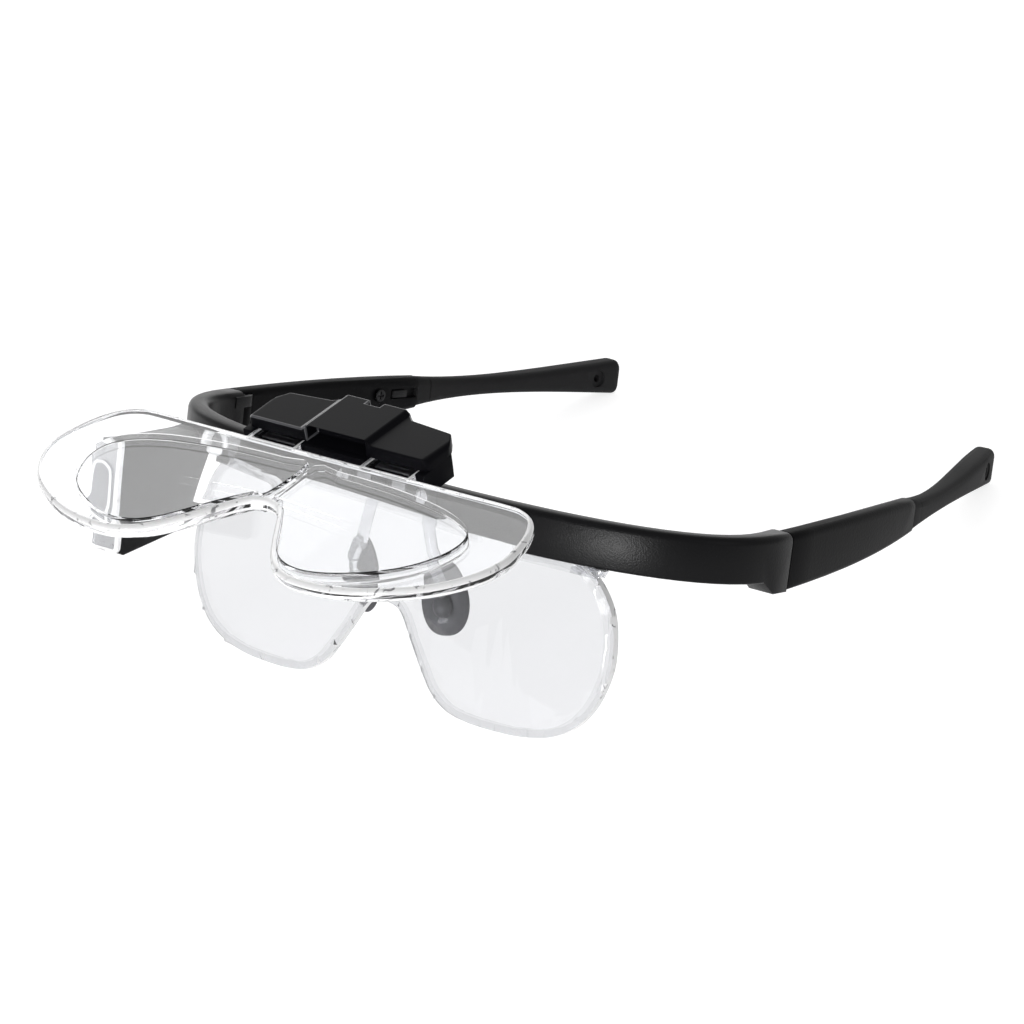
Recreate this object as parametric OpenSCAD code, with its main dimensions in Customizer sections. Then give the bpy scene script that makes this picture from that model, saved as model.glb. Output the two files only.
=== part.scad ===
// Lighted magnifier worn like a pair of glasses, with a flip-up lens plate, a clear shield,
// folding temples with sliding rubber tips, and a small lamp at the wearer's right.
// Every piece is modelled as it is worn, temples level: X to the wearer's left, Y to the back,
// Z up, from the middle of the raised lens plate's rear edge. at_rest() lays it on a table.

/* [Brow bar] */
// Half the width over the outside of the two temple hinges
bar_half_w = 78.5; // [74:0.5:84]
// Front face of the bar's middle, behind the raised plate's rear edge
bar_front_y = 22.5; // [20:0.5:25]
// Joint between bar and temples, behind the raised plate's rear edge
seam_y = 60.5; // [54:0.5:68]
// Squareness of the bar's bend: 2 is an ellipse, more is squarer
bar_squareness = 2.55; // [2.2:0.05:3.2]
// Thickness of the bar at its middle
bar_t = 4.5; // [4:0.1:6]
// Thickness of the bar at its two ends, which hold the hinges
bar_end_t = 6.6; // [6:0.1:8]
// Top edge of the bar, below the raised plate's rear edge
bar_drop = 6; // [5:0.5:8]
// Height of the bar
bar_h = 10; // [9.8:0.1:12]
// Rounding of the bar's upper edges
bar_edge_r = 1.7; // [0.8:0.1:2]
// How far the bar's two ends reach below the rest of it
end_step = 2.5; // [1.5:0.1:3]

/* [Temple hinges] */
// Radius of the hinge pins
pin_r = 1; // [0.8:0.1:1.2]
// Radius of the hinge knuckles round the pins
knuckle_r = 2.6; // [2.3:0.1:2.9]
// Pin axis, in from the outside of the bar
pin_in = 4; // [3.8:0.1:4.4]
// Pin axis, behind the joint between bar and temple
pin_back = 1.8; // [1.5:0.1:2.2]
// Height of the temple's middle knuckle
tongue_h = 5; // [4:0.5:6]

/* [Temples] */
// Length of a temple arm, from the hinge joint to its rubber tip
arm_len = 62; // [54:1:70]
// Thickness of an arm at the hinge
arm_t = 5.1; // [4.8:0.1:5.3]
// Thickness of an arm at its tip
arm_tip_t = 4.7; // [4.6:0.1:5.3]
// Height of an arm where it meets its tip
arm_tip_h = 7.4; // [7:0.1:9]
// Inward lean of an arm at the hinge, as a share of its length
arm_lean = 0.03; // [0.02:0.002:0.06]
// Inward bow of an arm, in mm for each mm of length squared
arm_bow = 0.0011; // [0.0008:0.0001:0.0012]

/* [Rubber tips] */
// Length of a rubber tip
tip_len = 66; // [56:1:76]
// Thickness of a tip's paddle
paddle_t = 6.4; // [5.5:0.1:7.5]
// Height of a tip's paddle near its end
paddle_h = 8.6; // [7.6:0.2:10]
// Radius of the strap hole through each tip
strap_r = 1; // [0.8:0.1:1.3]
// Strap hole, in from the end of the tip
strap_in = 8; // [7:0.5:11]
// How far a tip slides out of its arm
tip_travel = 10; // [6:1:12]
// Length of the flat slider inside an arm
slider_len = 24; // [22:1:26]
// Thickness of the slider
slider_t = 1.8; // [1.5:0.1:2]
// Height of the slider
slider_h = 3.6; // [3:0.1:4]

/* [Lens plate] */
// Half the width of the lens plate
plate_half_w = 60; // [55:0.1:60.1]
// Depth of the lens plate, from its rear edge to its front
plate_d = 43.4; // [40:0.1:48]
// Thickness of the lens plate
plate_t = 3; // [2.5:0.1:3.2]
// Slope of the raised plate, down towards the front
plate_slope = 22; // [18:0.5:26]
// Radius of the magnifying surfaces
dome_r = 230; // [200:5:320]
// Distance from the plate's middle to the inner side of a tab
tab_in = 8.7; // [8:0.1:10]
// Distance from the plate's middle to the outer side of a tab
tab_out = 21.8; // [20:0.1:22]
// Length of a tab behind the plate's rear edge
tab_len = 8; // [7:0.5:9]
// Thickness of a tab
tab_t = 1.9; // [1.7:0.1:2.1]

/* [Flip-up carrier] */
// Half the width of the carrier
carrier_half_w = 24.2; // [23.5:0.1:26]
// Front face of the carrier, behind the plate's rear edge
carrier_front = 1.4; // [1:0.1:2]
// Back of the carrier's two sides, behind the plate's rear edge
carrier_back = 14.6; // [13.5:0.1:15]
// Back of the carrier's middle, behind the plate's rear edge
hump_back = 18.2; // [17.5:0.1:18.6]
// Half the width of the carrier's raised middle
hump_half_w = 7.4; // [7:0.1:8]
// Height of the cover above the plate's top face
cover_h = 3; // [2.6:0.1:3.4]
// Height of the cover's middle above its sides
hump_h = 1.2; // [0.8:0.1:1.4]
// Depth of the carrier's base below the plate's top face
base_h = 5; // [4.8:0.1:5.2]
// Flip axis, behind the raised plate's rear edge
flip_y = 17; // [16.6:0.1:17.2]
// Radius of the flip hinge's knuckles
flip_r = 2.6; // [2.4:0.1:2.7]
// Half the width of the bracket's middle lug
lug_half_w = 1.6; // [1.4:0.1:1.8]

/* [Shield] */
// Front face of the shield's middle, behind the raised plate's rear edge
shield_y = 25; // [24.6:0.1:25.2]
// Thickness of the shield
shield_t = 2.5; // [2:0.1:2.8]
// Radius to which the shield is bent
shield_bend_r = 420; // [350:10:600]
// Half the width of the shield
shield_half_w = 57.2; // [54:0.1:60]
// Lowest edge of the shield, below the bar
shield_h = 40; // [36:0.5:44]
// Half the distance between the shield's two fixing tabs
shield_tab_x = 27; // [24:0.5:30]
// Width of a fixing tab
shield_tab_w = 12; // [10:0.5:14]
// Height of a fixing tab above the shield's top edge
shield_tab_h = 6.5; // [6:0.1:7]

/* [Nose pads] */
// Distance from the middle to the centre of a pad
pad_x = 11.2; // [10.6:0.1:12]
// Width of a pad
pad_w = 10.5; // [9:0.1:11]
// Height of a pad
pad_h = 17; // [14:0.5:18]
// Thickness of a pad
pad_t = 2.8; // [2.4:0.1:3.2]
// Turn of a pad towards the nose
pad_turn = 24; // [18:1:28]

/* [Lamp] */
// Width of the lamp housing
lamp_w = 7.6; // [7.6:0.1:8.4]
// Inner side of the lamp housing, in from the outside of the right hinge
lamp_in = 17.8; // [17.3:0.1:17.9]
// Front face of the lamp, behind the raised plate's rear edge
lamp_front = 8.5; // [7:0.1:9]
// Height of the lamp's front
lamp_h = 23.5; // [22.5:0.1:25]
// Wall of the lamp housing
lamp_wall = 1; // [0.9:0.05:1.1]
// Radius of a coin cell
cell_r = 6.25; // [5.75:0.05:6.3]
// Thickness of a coin cell
cell_t = 2; // [1.6:0.1:2]
// Push button, in from the outside of the right hinge
button_in = 31.5; // [31:0.5:33.5]
// Radius of the push button
button_r = 2.8; // [2.5:0.1:2.9]
// Travel of the push button
button_travel = 1.2; // [0.8:0.1:1.3]

/* [Hidden] */
$fn = 48;

// Clearance of a running pin in its bore, and of faces that slide on each other
run = 0.05;
gap = 0.3;
slip = 0.15;
// Reach of a cut past the face that it opens
over = 1;
// How far one solid of a piece runs into the next one
sink = 0.4;

// Attitude on a table: the front stands up, on the shield's lower edges and the tips
rest_tilt = 15.67;
rest_lift = 61.68;
rest_shift = -67.46;

lamp_x = bar_half_w - lamp_in;
button_x = bar_half_w - button_in;
bar_top = -bar_drop;
bar_bottom = bar_top - bar_h;
bar_depth = seam_y - bar_front_y;
shield_top = bar_bottom - slip;
shield_bottom = bar_bottom - shield_h;

// Stations along the brow bar, from one hinge over the middle to the other
bar_steps = 18;
bar_stations = [for (i = [-bar_steps:bar_steps]) 90 * i / bar_steps];

function bar_point(a) = [
    sign(a) * bar_half_w * pow(abs(sin(a)), 2 / bar_squareness),
    seam_y - bar_depth * pow(abs(cos(a)), 2 / bar_squareness)];
function unit(v) = v / norm(v);
function bar_inward(a) = abs(a) > 89 ? [-sign(a), 0] :
    let (d = unit(bar_point(a + 1) - bar_point(a - 1))) [-d.y, d.x];
function bar_wall(a) = bar_t + (bar_end_t - bar_t) * pow(abs(a) / 90, 6);
// Front face of the bar at a distance from the middle
function bar_face(x) = seam_y - bar_depth
    * pow(1 - pow(abs(x) / bar_half_w, bar_squareness), 1 / bar_squareness);

// Rounded rectangle, from its outer side inwards: u runs in from the outer face, z up
function arc_points(c, r, start, n) =
    [for (i = [0:n]) c + r * [cos(start - 90 * i / n), sin(start - 90 * i / n)]];
function section(t, top, bottom, r_top, r_low, inset = 0) =
    let (w = t - 2 * inset, zt = top - inset, zb = bottom + inset,
         ra = min(r_top, w / 2 - 0.02), rb = min(r_low, w / 2 - 0.02))
    [for (p = concat(
        arc_points([ra, zt - ra], ra, 180, 4), arc_points([w - ra, zt - ra], ra, 90, 4),
        arc_points([w - rb, zb + rb], rb, 0, 3), arc_points([rb, zb + rb], rb, -90, 3)))
        [p.x + inset, p.y]];
function bezier(p, t) = pow(1 - t, 3) * p[0] + 3 * pow(1 - t, 2) * t * p[1]
    + 3 * (1 - t) * t * t * p[2] + t * t * t * p[3];

// Skin over a row of rings, each with the same number of points, closed at both ends
module loft(rings) {
    n = len(rings[0]);
    m = len(rings);
    sides = [for (i = [0:m - 2], j = [0:n - 1])
        let (a = i * n + j, b = i * n + (j + 1) % n) each [[a, b, b + n], [a, b + n, a + n]]];
    caps = [[for (j = [n - 1:-1:0]) j], [for (j = [0:n - 1]) (m - 1) * n + j]];
    polyhedron(concat([for (r = rings) each r]), concat(sides, caps));
}

// Cylinder along X, from its middle
module x_rod(r, l) { rotate([0, 90, 0]) cylinder(r = r, h = l, center = true); }
// Cylinder that runs back along Y from its front face
module y_rod(r, l) { rotate([-90, 0, 0]) cylinder(r = r, h = l); }
// Small screw that points along -Z, with the underside of its head at the origin
module small_screw(r, l, head_r, head_h) {
    difference() {
        union() {
            cylinder(r = head_r, h = head_h);
            translate([0, 0, -l]) cylinder(r = r, h = l + sink);
        }
        for (a = [0, 90]) rotate(a) translate([-head_r * 0.7, -0.2, head_h - 0.4])
            cube([head_r * 1.4, 0.4, over]);
    }
}
module on_side(side) { if (side > 0) children(); else mirror([1, 0, 0]) children(); }
// The raised plate's own directions: Y back along it, Z square to it
module on_plate() { rotate([plate_slope, 0, 0]) children(); }
module at_rest() { translate([0, rest_shift, rest_lift]) rotate([-rest_tilt, 0, 0]) children(); }

// Brow bar
pin_x = bar_half_w - pin_in;
pin_y = seam_y + pin_back;
end_bottom = bar_bottom - end_step;
hinge_mid = (bar_top + end_bottom) / 2;
ear_h = (bar_top - end_bottom - tongue_h) / 2 - slip - 1;
ear_z = tongue_h / 2 + slip;
screw_r = 0.9;
// Seat for the hinge bracket, and its two screws
seat_depth = 0.35;
seat_half_w = 13.2;
bracket_screw_x = 10.4;
bracket_screw_z = bar_top - bar_h / 2;
shield_screw_z = bar_bottom + shield_tab_h - 3;
bridge_screw_z = bar_top - 4;
// Push button's bore and the pocket behind it
button_z = bar_top - 5.4;
button_base = bar_face(button_x) + 1.6;
pocket_r = button_r + 0.8;
button_len = 7;
flange_h = 0.8;
flange_y = button_base + slip;
spring_y = flange_y + flange_h;
switch_y = spring_y + button_travel + 0.8;
switch_t = 0.9;
wire_r = 0.7;

module bar_sweep() {
    loft([for (a = bar_stations)
        let (p = bar_point(a), n = bar_inward(a))
        [for (s = section(bar_wall(a), bar_top, bar_bottom, bar_edge_r, 0.6))
            [p.x + n.x * s.x, p.y + n.y * s.x, s.y]]]);
}
module hinge_ears() {
    for (side = [-1, 1], up = [-1, 1])
        translate([side * pin_x, pin_y, hinge_mid + (up > 0 ? ear_z : -ear_z - ear_h)]) {
            cylinder(r = knuckle_r, h = ear_h);
            translate([-knuckle_r, -pin_back - 3, 0]) cube([2 * knuckle_r, pin_back + 3, ear_h]);
        }
}
// Plan of the bar, and of all that lies behind its front face
module bar_plan() polygon(concat(
    [for (a = bar_stations) bar_point(a)],
    [for (i = [len(bar_stations) - 1:-1:0]) let (a = bar_stations[i])
        bar_point(a) + bar_wall(a) * bar_inward(a)]));
module behind_bar(grow) polygon(concat(
    [for (a = bar_stations) bar_point(a) - grow * bar_inward(a)],
    [[bar_half_w + grow, 2 * seam_y], [-bar_half_w - grow, 2 * seam_y]]));
// Deeper ends under the hinges, each with a slope towards the middle
module end_blocks() intersection() {
    translate([0, 0, end_bottom]) linear_extrude(end_step + over) bar_plan();
    translate([-bar_half_w, seam_y, end_bottom]) rotate([90, 0, 90])
        linear_extrude(2 * bar_half_w) polygon([
            [0, 0], [0, end_step + over], [-9, end_step + over], [-8, end_step], [-5, 0]]);
}
module switch_bores() {
    translate([-button_x, 0, button_z]) {
        translate([0, bar_front_y, 0]) y_rod(button_r + run * 2, 20);
        translate([0, button_base, 0]) y_rod(pocket_r, 20);
    }
}
// Channel for the two wires, from the button's pocket through the bar and into the lamp
wire_z = bar_top - 7.8;
wire_points = [
    [-button_x - 1, switch_y + 0.35, wire_z],
    [-button_x - 4.5, switch_y + 0.35, wire_z],
    [-lamp_x - 2.2, bar_face(lamp_x) + 2.6, wire_z],
    [-lamp_x - 2.2, bar_face(lamp_x) - 3, wire_z]];
module along(a, b, r) {
    d = b - a;
    translate(a) rotate([0, acos(d.z / norm(d)), atan2(d.y, d.x)]) cylinder(r = r, h = norm(d));
}
module wire_bore() for (i = [0:2])
    let (a = wire_points[i], b = wire_points[i + 1], u = (b - a) / norm(b - a) * (i == 2 ? 0.9 : 0.35))
        along(a - u, b + u, wire_r + 0.02 * i);
module brow_bar() color([0.09, 0.09, 0.1]) difference() {
    union() {
        bar_sweep();
        hinge_ears();
        end_blocks();
    }
    // room for the temples' knuckles, and the pins' bores
    for (side = [-1, 1]) translate([side * pin_x, pin_y, 0]) {
        translate([0, 0, hinge_mid - ear_z]) cylinder(r = knuckle_r + gap, h = 2 * ear_z);
        translate([0, 0, end_bottom - over]) cylinder(r = pin_r, h = bar_h + 4);
    }
    // pockets and screws for the shield's two tabs
    for (side = [-1, 1]) translate([side * shield_tab_x, 0, bar_bottom]) {
        translate([-shield_tab_w / 2 - slip, shield_front(shield_tab_x - shield_tab_w / 2), -over])
            cube([shield_tab_w + 2 * slip, 12, shield_tab_h + over]);
        translate([0, bar_face(shield_tab_x) + 0.9, shield_screw_z - bar_bottom]) y_rod(screw_r, 12);
    }
    // seat, screws and pins of the hinge bracket, and the screw of the nose bridge
    translate([-seat_half_w, bar_front_y - over, bar_bottom])
        cube([2 * seat_half_w, over + seat_depth, bar_h + over]);
    for (side = [-1, 1]) translate([side * bracket_screw_x, bar_front_y, bracket_screw_z])
        y_rod(screw_r, 3.6);
    translate([0, bar_front_y + 1.2, bridge_screw_z]) y_rod(screw_r, 8);
    switch_bores();
    wire_bore();
    // screw of the lamp
    translate([-lamp_mid_x, lamp_screw_y, bar_bottom - over]) cylinder(r = screw_r, h = over + 3.8);
}

// Flip hinge
plate_c = cos(plate_slope);
plate_s = sin(plate_slope);
flip_z = 0;
// The same axis in the plate's directions
axis_back = flip_y * plate_c;
axis_down = -flip_y * plate_s;
outer_lug_x = hump_half_w + 0.4;
outer_lug_w = 2.2;
pin_half_len = outer_lug_x + outer_lug_w;
bracket_t = 2.4;
bracket_y = bar_front_y + seat_depth;

module hinge_bracket() color([0.12, 0.12, 0.13]) difference() {
    union() {
        translate([-seat_half_w + slip, bracket_y - bracket_t, bar_bottom + 3])
            cube([2 * (seat_half_w - slip), bracket_t, bar_h - 4]);
        for (x = [-outer_lug_x - outer_lug_w, -lug_half_w, outer_lug_x])
            let (w = x == -lug_half_w ? 2 * lug_half_w : outer_lug_w)
            translate([x, 0, 0]) {
                translate([w / 2, flip_y, flip_z]) x_rod(flip_r, w);
                rotate([90, 0, 90]) linear_extrude(w) polygon([
                    [flip_y - 1.9, flip_z - 1.8], [flip_y + 1.8, flip_z + 1.9],
                    [bracket_y, bar_top - 0.6], [bracket_y, bar_bottom + 4],
                    [bracket_y - bracket_t, bar_bottom + 4]]);
            }
    }
    translate([0, flip_y, flip_z]) x_rod(pin_r, 2 * pin_half_len + 2 * over);
    for (side = [-1, 1]) translate([side * bracket_screw_x, bracket_y - bracket_t - over, bracket_screw_z]) {
        y_rod(screw_r + run, 6);
        y_rod(1.9, over + 1);
    }
}
module bracket_screws() color([0.5, 0.5, 0.52]) for (side = [-1, 1])
    translate([side * bracket_screw_x, bracket_y - bracket_t + 1, bracket_screw_z])
        rotate([90, 0, 0]) small_screw(screw_r, 4.2, 1.8, 0.9);
module flip_pin() color([0.7, 0.7, 0.72])
    translate([0, flip_y, flip_z]) x_rod(pin_r, 2 * pin_half_len - 0.4);
detent_x = (lug_half_w + outer_lug_x) / 2;
detent_w = 3.6;
detent_t = 0.4;
detent_y = bracket_y - bracket_t - detent_t;
module detent_spring() color([0.72, 0.72, 0.74]) {
    for (side = [-1, 1]) translate([side * detent_x - detent_w / 2, detent_y, bar_bottom + 5])
        cube([detent_w, detent_t, flip_z - 0.1 - bar_bottom - 5]);
}

// Carrier: a base with pockets for the plate's tabs, and a cover with a raised middle
module carrier_outline(inset = 0) {
    w = carrier_half_w - inset;
    h = hump_half_w - inset;
    polygon([
        [-w, carrier_front + inset], [w, carrier_front + inset], [w, carrier_back - 3.6],
        [w - 3, carrier_back - inset], [h + 0.6, carrier_back - inset], [h, hump_back - inset],
        [-h, hump_back - inset], [-h - 0.6, carrier_back - inset], [-w + 3, carrier_back - inset],
        [-w, carrier_back - 3.6]]);
}
notch_w = 3.6;
notch_d = 1.9;
carrier_screw_x = 16.6;
carrier_screw_back = 11.6;
module back_notch() {
    translate([-notch_w / 2, hump_back - notch_d, -base_h - over])
        cube([notch_w, notch_d + over, base_h + cover_h + hump_h + 2 * over]);
}
module carrier_base() color([0.12, 0.12, 0.14]) on_plate() difference() {
    union() {
        translate([0, 0, -base_h]) linear_extrude(base_h) carrier_outline();
        for (side = [-1, 1]) translate([side * detent_x, axis_back, axis_down]) {
            x_rod(flip_r, outer_lug_x - lug_half_w - 2 * slip);
            translate([-(outer_lug_x - lug_half_w) / 2 + slip, -flip_r, 0])
                cube([outer_lug_x - lug_half_w - 2 * slip, 2 * flip_r, -axis_down - base_h + sink]);
        }
    }
    translate([0, axis_back, axis_down]) {
        x_rod(pin_r + run, 4 * hump_half_w);
        for (x = [0, -outer_lug_x - outer_lug_w / 2, outer_lug_x + outer_lug_w / 2])
            translate([x, 0, 0]) x_rod(flip_r + 1.5, (x == 0 ? 2 * lug_half_w : outer_lug_w) + 2 * slip);
    }
    back_notch();
    for (side = [-1, 1]) {
        translate([side * (tab_in + tab_out) / 2, 0, 0]) {
            translate([-(tab_out - tab_in) / 2 - slip, carrier_front - over, -tab_t - 2 * slip - clip_t])
                cube([tab_out - tab_in + 2 * slip, tab_len - carrier_front + over + slip, tab_t + clip_t + over]);
        }
        translate([side * carrier_screw_x, carrier_screw_back, -base_h - over]) {
            cylinder(r = screw_r + run, h = base_h + 2 * over);
            cylinder(r = 1.7, h = over + 1.2);
        }
    }
}
// Cover: its sides, and the raised middle on two short slopes
module carrier_cover() color([0.15, 0.15, 0.17]) on_plate() difference() {
    union() {
        linear_extrude(cover_h) carrier_outline();
        translate([0, hump_back, 0]) rotate([90, 0, 0])
            linear_extrude(hump_back - carrier_front) polygon([
                [-hump_half_w, over], [-hump_half_w, cover_h + hump_h],
                [hump_half_w, cover_h + hump_h], [hump_half_w, over]]);
        translate([0, carrier_back, 0]) rotate([90, 0, 0])
            linear_extrude(carrier_back - carrier_front) polygon([
                [-hump_half_w - hump_h, cover_h - sink], [-hump_half_w - hump_h, cover_h],
                [-hump_half_w, cover_h + hump_h], [hump_half_w, cover_h + hump_h],
                [hump_half_w + hump_h, cover_h], [hump_half_w + hump_h, cover_h - sink]]);
    }
    back_notch();
    // bevels along the top edges of the front, the back and the two ends
    for (e = [[carrier_front, cover_h], [carrier_back, cover_h]])
        for (side = [-1, 1]) translate([side * (carrier_half_w + hump_half_w + hump_h + over) / 2, e[0], e[1]])
            rotate([45, 0, 0]) cube([carrier_half_w - hump_half_w - hump_h + over, 0.7, 0.7], center = true);
    for (side = [-1, 1]) translate([side * carrier_half_w, 0, cover_h])
        rotate([0, 45, 0]) cube([1.2, 4 * carrier_back, 1.2], center = true);
    translate([0, carrier_front, cover_h + hump_h])
        rotate([45, 0, 0]) cube([2 * hump_half_w + 4, 0.7, 0.7], center = true);
    // room inside, open below
    for (side = [-1, 1]) translate([side * (carrier_half_w + 9) / 2, 0, -over])
        translate([-(carrier_half_w - 9) / 2 + 1.3, tab_len + slip + 0.6, 0])
            cube([3.2, carrier_back - tab_len - 2.6, over + 1.6]);
    for (side = [-1, 1]) translate([side * carrier_screw_x, carrier_screw_back, -over])
        cylinder(r = screw_r, h = over + 1.8);
}
module carrier_screws() color([0.5, 0.5, 0.52]) on_plate() for (side = [-1, 1])
    translate([side * carrier_screw_x, carrier_screw_back, -base_h + 1.2])
        rotate([180, 0, 0]) small_screw(screw_r, base_h - 1.2 + 1.7, 1.6, 0.9);
// Thin springs under the tabs, which hold the plate in its pockets
clip_t = 0.4;
module tab_clips() color([0.75, 0.75, 0.77]) on_plate() for (side = [-1, 1])
    translate([side * (tab_in + tab_out) / 2, 0, -tab_t - 2 * slip - clip_t]) {
        translate([-4.5, carrier_front + 0.6, 0]) cube([9, tab_len - carrier_front - 0.8, clip_t]);
        translate([-3, carrier_front + 2.2, clip_t - 0.1]) cube([6, 0.8, slip + 0.05]);
    }

// Lens plate: two lobes with a nose notch between them, a magnifying zone in each, two tabs
lobe_half = [[0, 0], [47, 0], [50.6, 0.6], [53.6, 2.2], [56, 5], [58, 9.6], [59.2, 15.5],
    [59.3, 20], [57.8, 25.2], [54.6, 30.4], [50.4, 34.8], [44.8, 38.6], [38.4, 41.8], [31.5, 43.6],
    [25, 43.9], [20.4, 42.7], [16.8, 40.3], [13.8, 37], [11, 33], [7.8, 28], [5.2, 24],
    [3, 21.8], [0, 21]];
lobe_sx = plate_half_w / 59.3;
lobe_sy = plate_d / 43.9;
// Outline of a magnifying zone, its middle, and how far from there it rises out of the plate
zone_half = [[0.8, 5.4], [7, 5.4], [13.5, 5.6], [20.8, 6], [28, 6.8], [35.4, 8.2], [41, 10.1], [45.2, 12.6],
    [47.6, 16], [48, 20.4], [46.6, 25.4], [43.4, 30.6], [39, 34.8], [34, 38], [29, 40.2], [24, 41], [19.2, 39.8],
    [15.4, 36.8], [12.4, 32.6], [9.2, 27.6], [5, 21.6], [3, 19.6], [0.8, 18.8]];
zone_c = [25, 22];
zone_reach = 27;
module lobe_outline() polygon([for (p = lobe_half) [p.x * lobe_sx, -p.y * lobe_sy]]);
module lens_plate() color([0.85, 0.92, 0.96, 0.5]) on_plate() {
    dome_rise = dome_r - sqrt(dome_r * dome_r - zone_reach * zone_reach);
    translate([0, 0, -plate_t]) linear_extrude(plate_t) {
        lobe_outline();
        mirror([1, 0]) lobe_outline();
    }
    // magnifying zones, bulging from both faces
    for (side = [-1, 1], up = [-1, 1])
        translate([0, 0, -plate_t / 2]) mirror([side > 0 ? 0 : 1, 0, 0]) mirror([0, 0, up > 0 ? 0 : 1])
            intersection() {
                linear_extrude(plate_t) polygon([for (p = zone_half) [p.x * lobe_sx, -p.y * lobe_sy]]);
                translate([zone_c.x * lobe_sx, -zone_c.y * lobe_sy, plate_t / 2 + dome_rise - dome_r])
                    sphere(r = dome_r, $fn = 160);
            }
    for (side = [-1, 1]) translate([side * (tab_in + tab_out) / 2, 0, 0])
        translate([-(tab_out - tab_in) / 2, -sink, -tab_t - slip])
            cube([tab_out - tab_in, tab_len + sink, tab_t]);
}

// Shield: a bent clear sheet under the bar, with a nose notch, on two tabs behind the bar
function shield_front(x) = shield_y + shield_bend_r - sqrt(shield_bend_r * shield_bend_r - x * x);
shield_sx = shield_half_w / 57.4;
shield_sz = (shield_top - shield_bottom) / 39.85;
// Half outline, with depths below the shield's top edge, and with the tab that stands on it
shield_lobe = [[45.5, 0], [49.8, 1], [53.4, 4.3], [56.2, 9.3], [57.4, 15.8], [57.2, 21.8],
    [55, 28.8], [51.2, 34.3], [45.8, 37.8], [38.8, 39.5], [32, 39.85], [25, 39.7], [19.2, 38.5],
    [14.8, 35.5], [11.6, 31.2], [8.2, 25.8], [5.2, 20.8], [3, 19]];
shield_tab_top = shield_tab_h - 0.4;
shield_half = concat(
    [[shield_tab_x - shield_tab_w / 2, 0], [shield_tab_x - shield_tab_w / 2, shield_tab_top],
     [shield_tab_x + shield_tab_w / 2, shield_tab_top], [shield_tab_x + shield_tab_w / 2, 0]],
    [for (p = shield_lobe) [p.x * shield_sx, -p.y * shield_sz]]);
module shield() color([0.85, 0.92, 0.96, 0.35]) difference() {
    intersection() {
        difference() {
            translate([0, shield_y + shield_bend_r, shield_bottom - over])
                cylinder(r = shield_bend_r, h = 2 * shield_h, $fn = 240);
            translate([0, shield_y + shield_bend_r, shield_bottom - 2 * over])
                cylinder(r = shield_bend_r - shield_t, h = 3 * shield_h, $fn = 240);
        }
        translate([0, shield_y + shield_h / 2, shield_top]) rotate([90, 0, 0]) linear_extrude(shield_h)
            polygon(concat(shield_half, [[0, -18.5 * shield_sz]],
                [for (i = [len(shield_half) - 1:-1:0]) [-shield_half[i].x, shield_half[i].y]]));
    }
    for (side = [-1, 1]) translate([side * shield_tab_x, shield_y - over, shield_screw_z])
        y_rod(screw_r + run, 8);
}
module shield_screws() color([0.5, 0.5, 0.52]) for (side = [-1, 1])
    translate([side * shield_tab_x, shield_front(shield_tab_x + 1.7) + shield_t, shield_screw_z])
        rotate([-90, 0, 0]) small_screw(screw_r, shield_t + 1.4, 1.7, 0.9);

// Nose bridge: a block behind the bar, and two arms whose pins carry the pads
bridge_y = bar_front_y + bar_t;
bridge_t = 3.2;
bridge_gap = 0.12;
pad_y = bridge_y + 6.2;
pad_z = bar_bottom - 17.4;
pad_pin_r = 0.8;
boss_r = 1.9;
boss_h = 5;
boss_out = 2.6;
module at_pad(side) on_side(side)
    translate([pad_x, pad_y, pad_z]) rotate([4, -8, pad_turn]) children();
module nose_bridge() color([0.75, 0.77, 0.8]) {
    difference() {
        translate([-7.5, bridge_y + bridge_gap, bar_bottom + 2.6]) cube([15, bridge_t, bar_h - 3.8]);
        translate([0, bridge_y - over, bridge_screw_z]) y_rod(screw_r + run, bridge_t + 2 * over);
    }
    for (side = [-1, 1]) {
        on_side(side) hull() {
            translate([5.5, bridge_y + 1.8, bar_bottom + 4]) sphere(r = 1.3, $fn = 16);
            translate([pad_x - 1.9, bridge_y + 2.4, pad_z + 7.6]) sphere(r = 1.2, $fn = 16);
        }
        at_pad(side) {
            translate([0, -boss_out, -boss_h / 2 - 0.2]) cylinder(r = pad_pin_r, h = boss_h + 3.6);
            translate([0, -boss_out, -boss_h / 2 - 0.9]) cylinder(r = 1.05, h = 0.7);
            hull() {
                translate([0, -boss_out, boss_h / 2 + 2.4]) sphere(r = 1.2, $fn = 16);
                translate([-1.2, -2.4, boss_h / 2 + 5]) sphere(r = 1.2, $fn = 16);
            }
        }
    }
}
module bridge_screw() color([0.5, 0.5, 0.52])
    translate([0, bridge_y + bridge_gap + bridge_t, bridge_screw_z])
        rotate([-90, 0, 0]) small_screw(screw_r, bridge_t + 3, 1.8, 0.9);
// Pad: an egg-shaped cushion, thin at its rim
pad_rows = 10;
pad_sides = 16;
module nose_pad(side) color([0.25, 0.25, 0.27]) at_pad(side) difference() {
    union() {
        loft([for (i = [0:pad_rows])
            let (s = -90 + 180 * i / pad_rows, c = max(cos(s), 0.12), z = pad_h / 2 * sin(s))
            [for (j = [0:pad_sides - 1]) let (a = -360 * j / pad_sides)
                [(pad_w / 2) * c * (1 + 0.12 * sin(s)) * cos(a),
                 pad_t / 2 * sqrt(c) * sin(a), z]]]);
        translate([0, -boss_out, -boss_h / 2]) cylinder(r = boss_r, h = boss_h);
        translate([-1, -boss_out + 1.2, -boss_h / 2]) cube([2, 1.6, boss_h]);
    }
    translate([0, -boss_out, -boss_h]) cylinder(r = pad_pin_r + run, h = 2 * boss_h);
}

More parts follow.
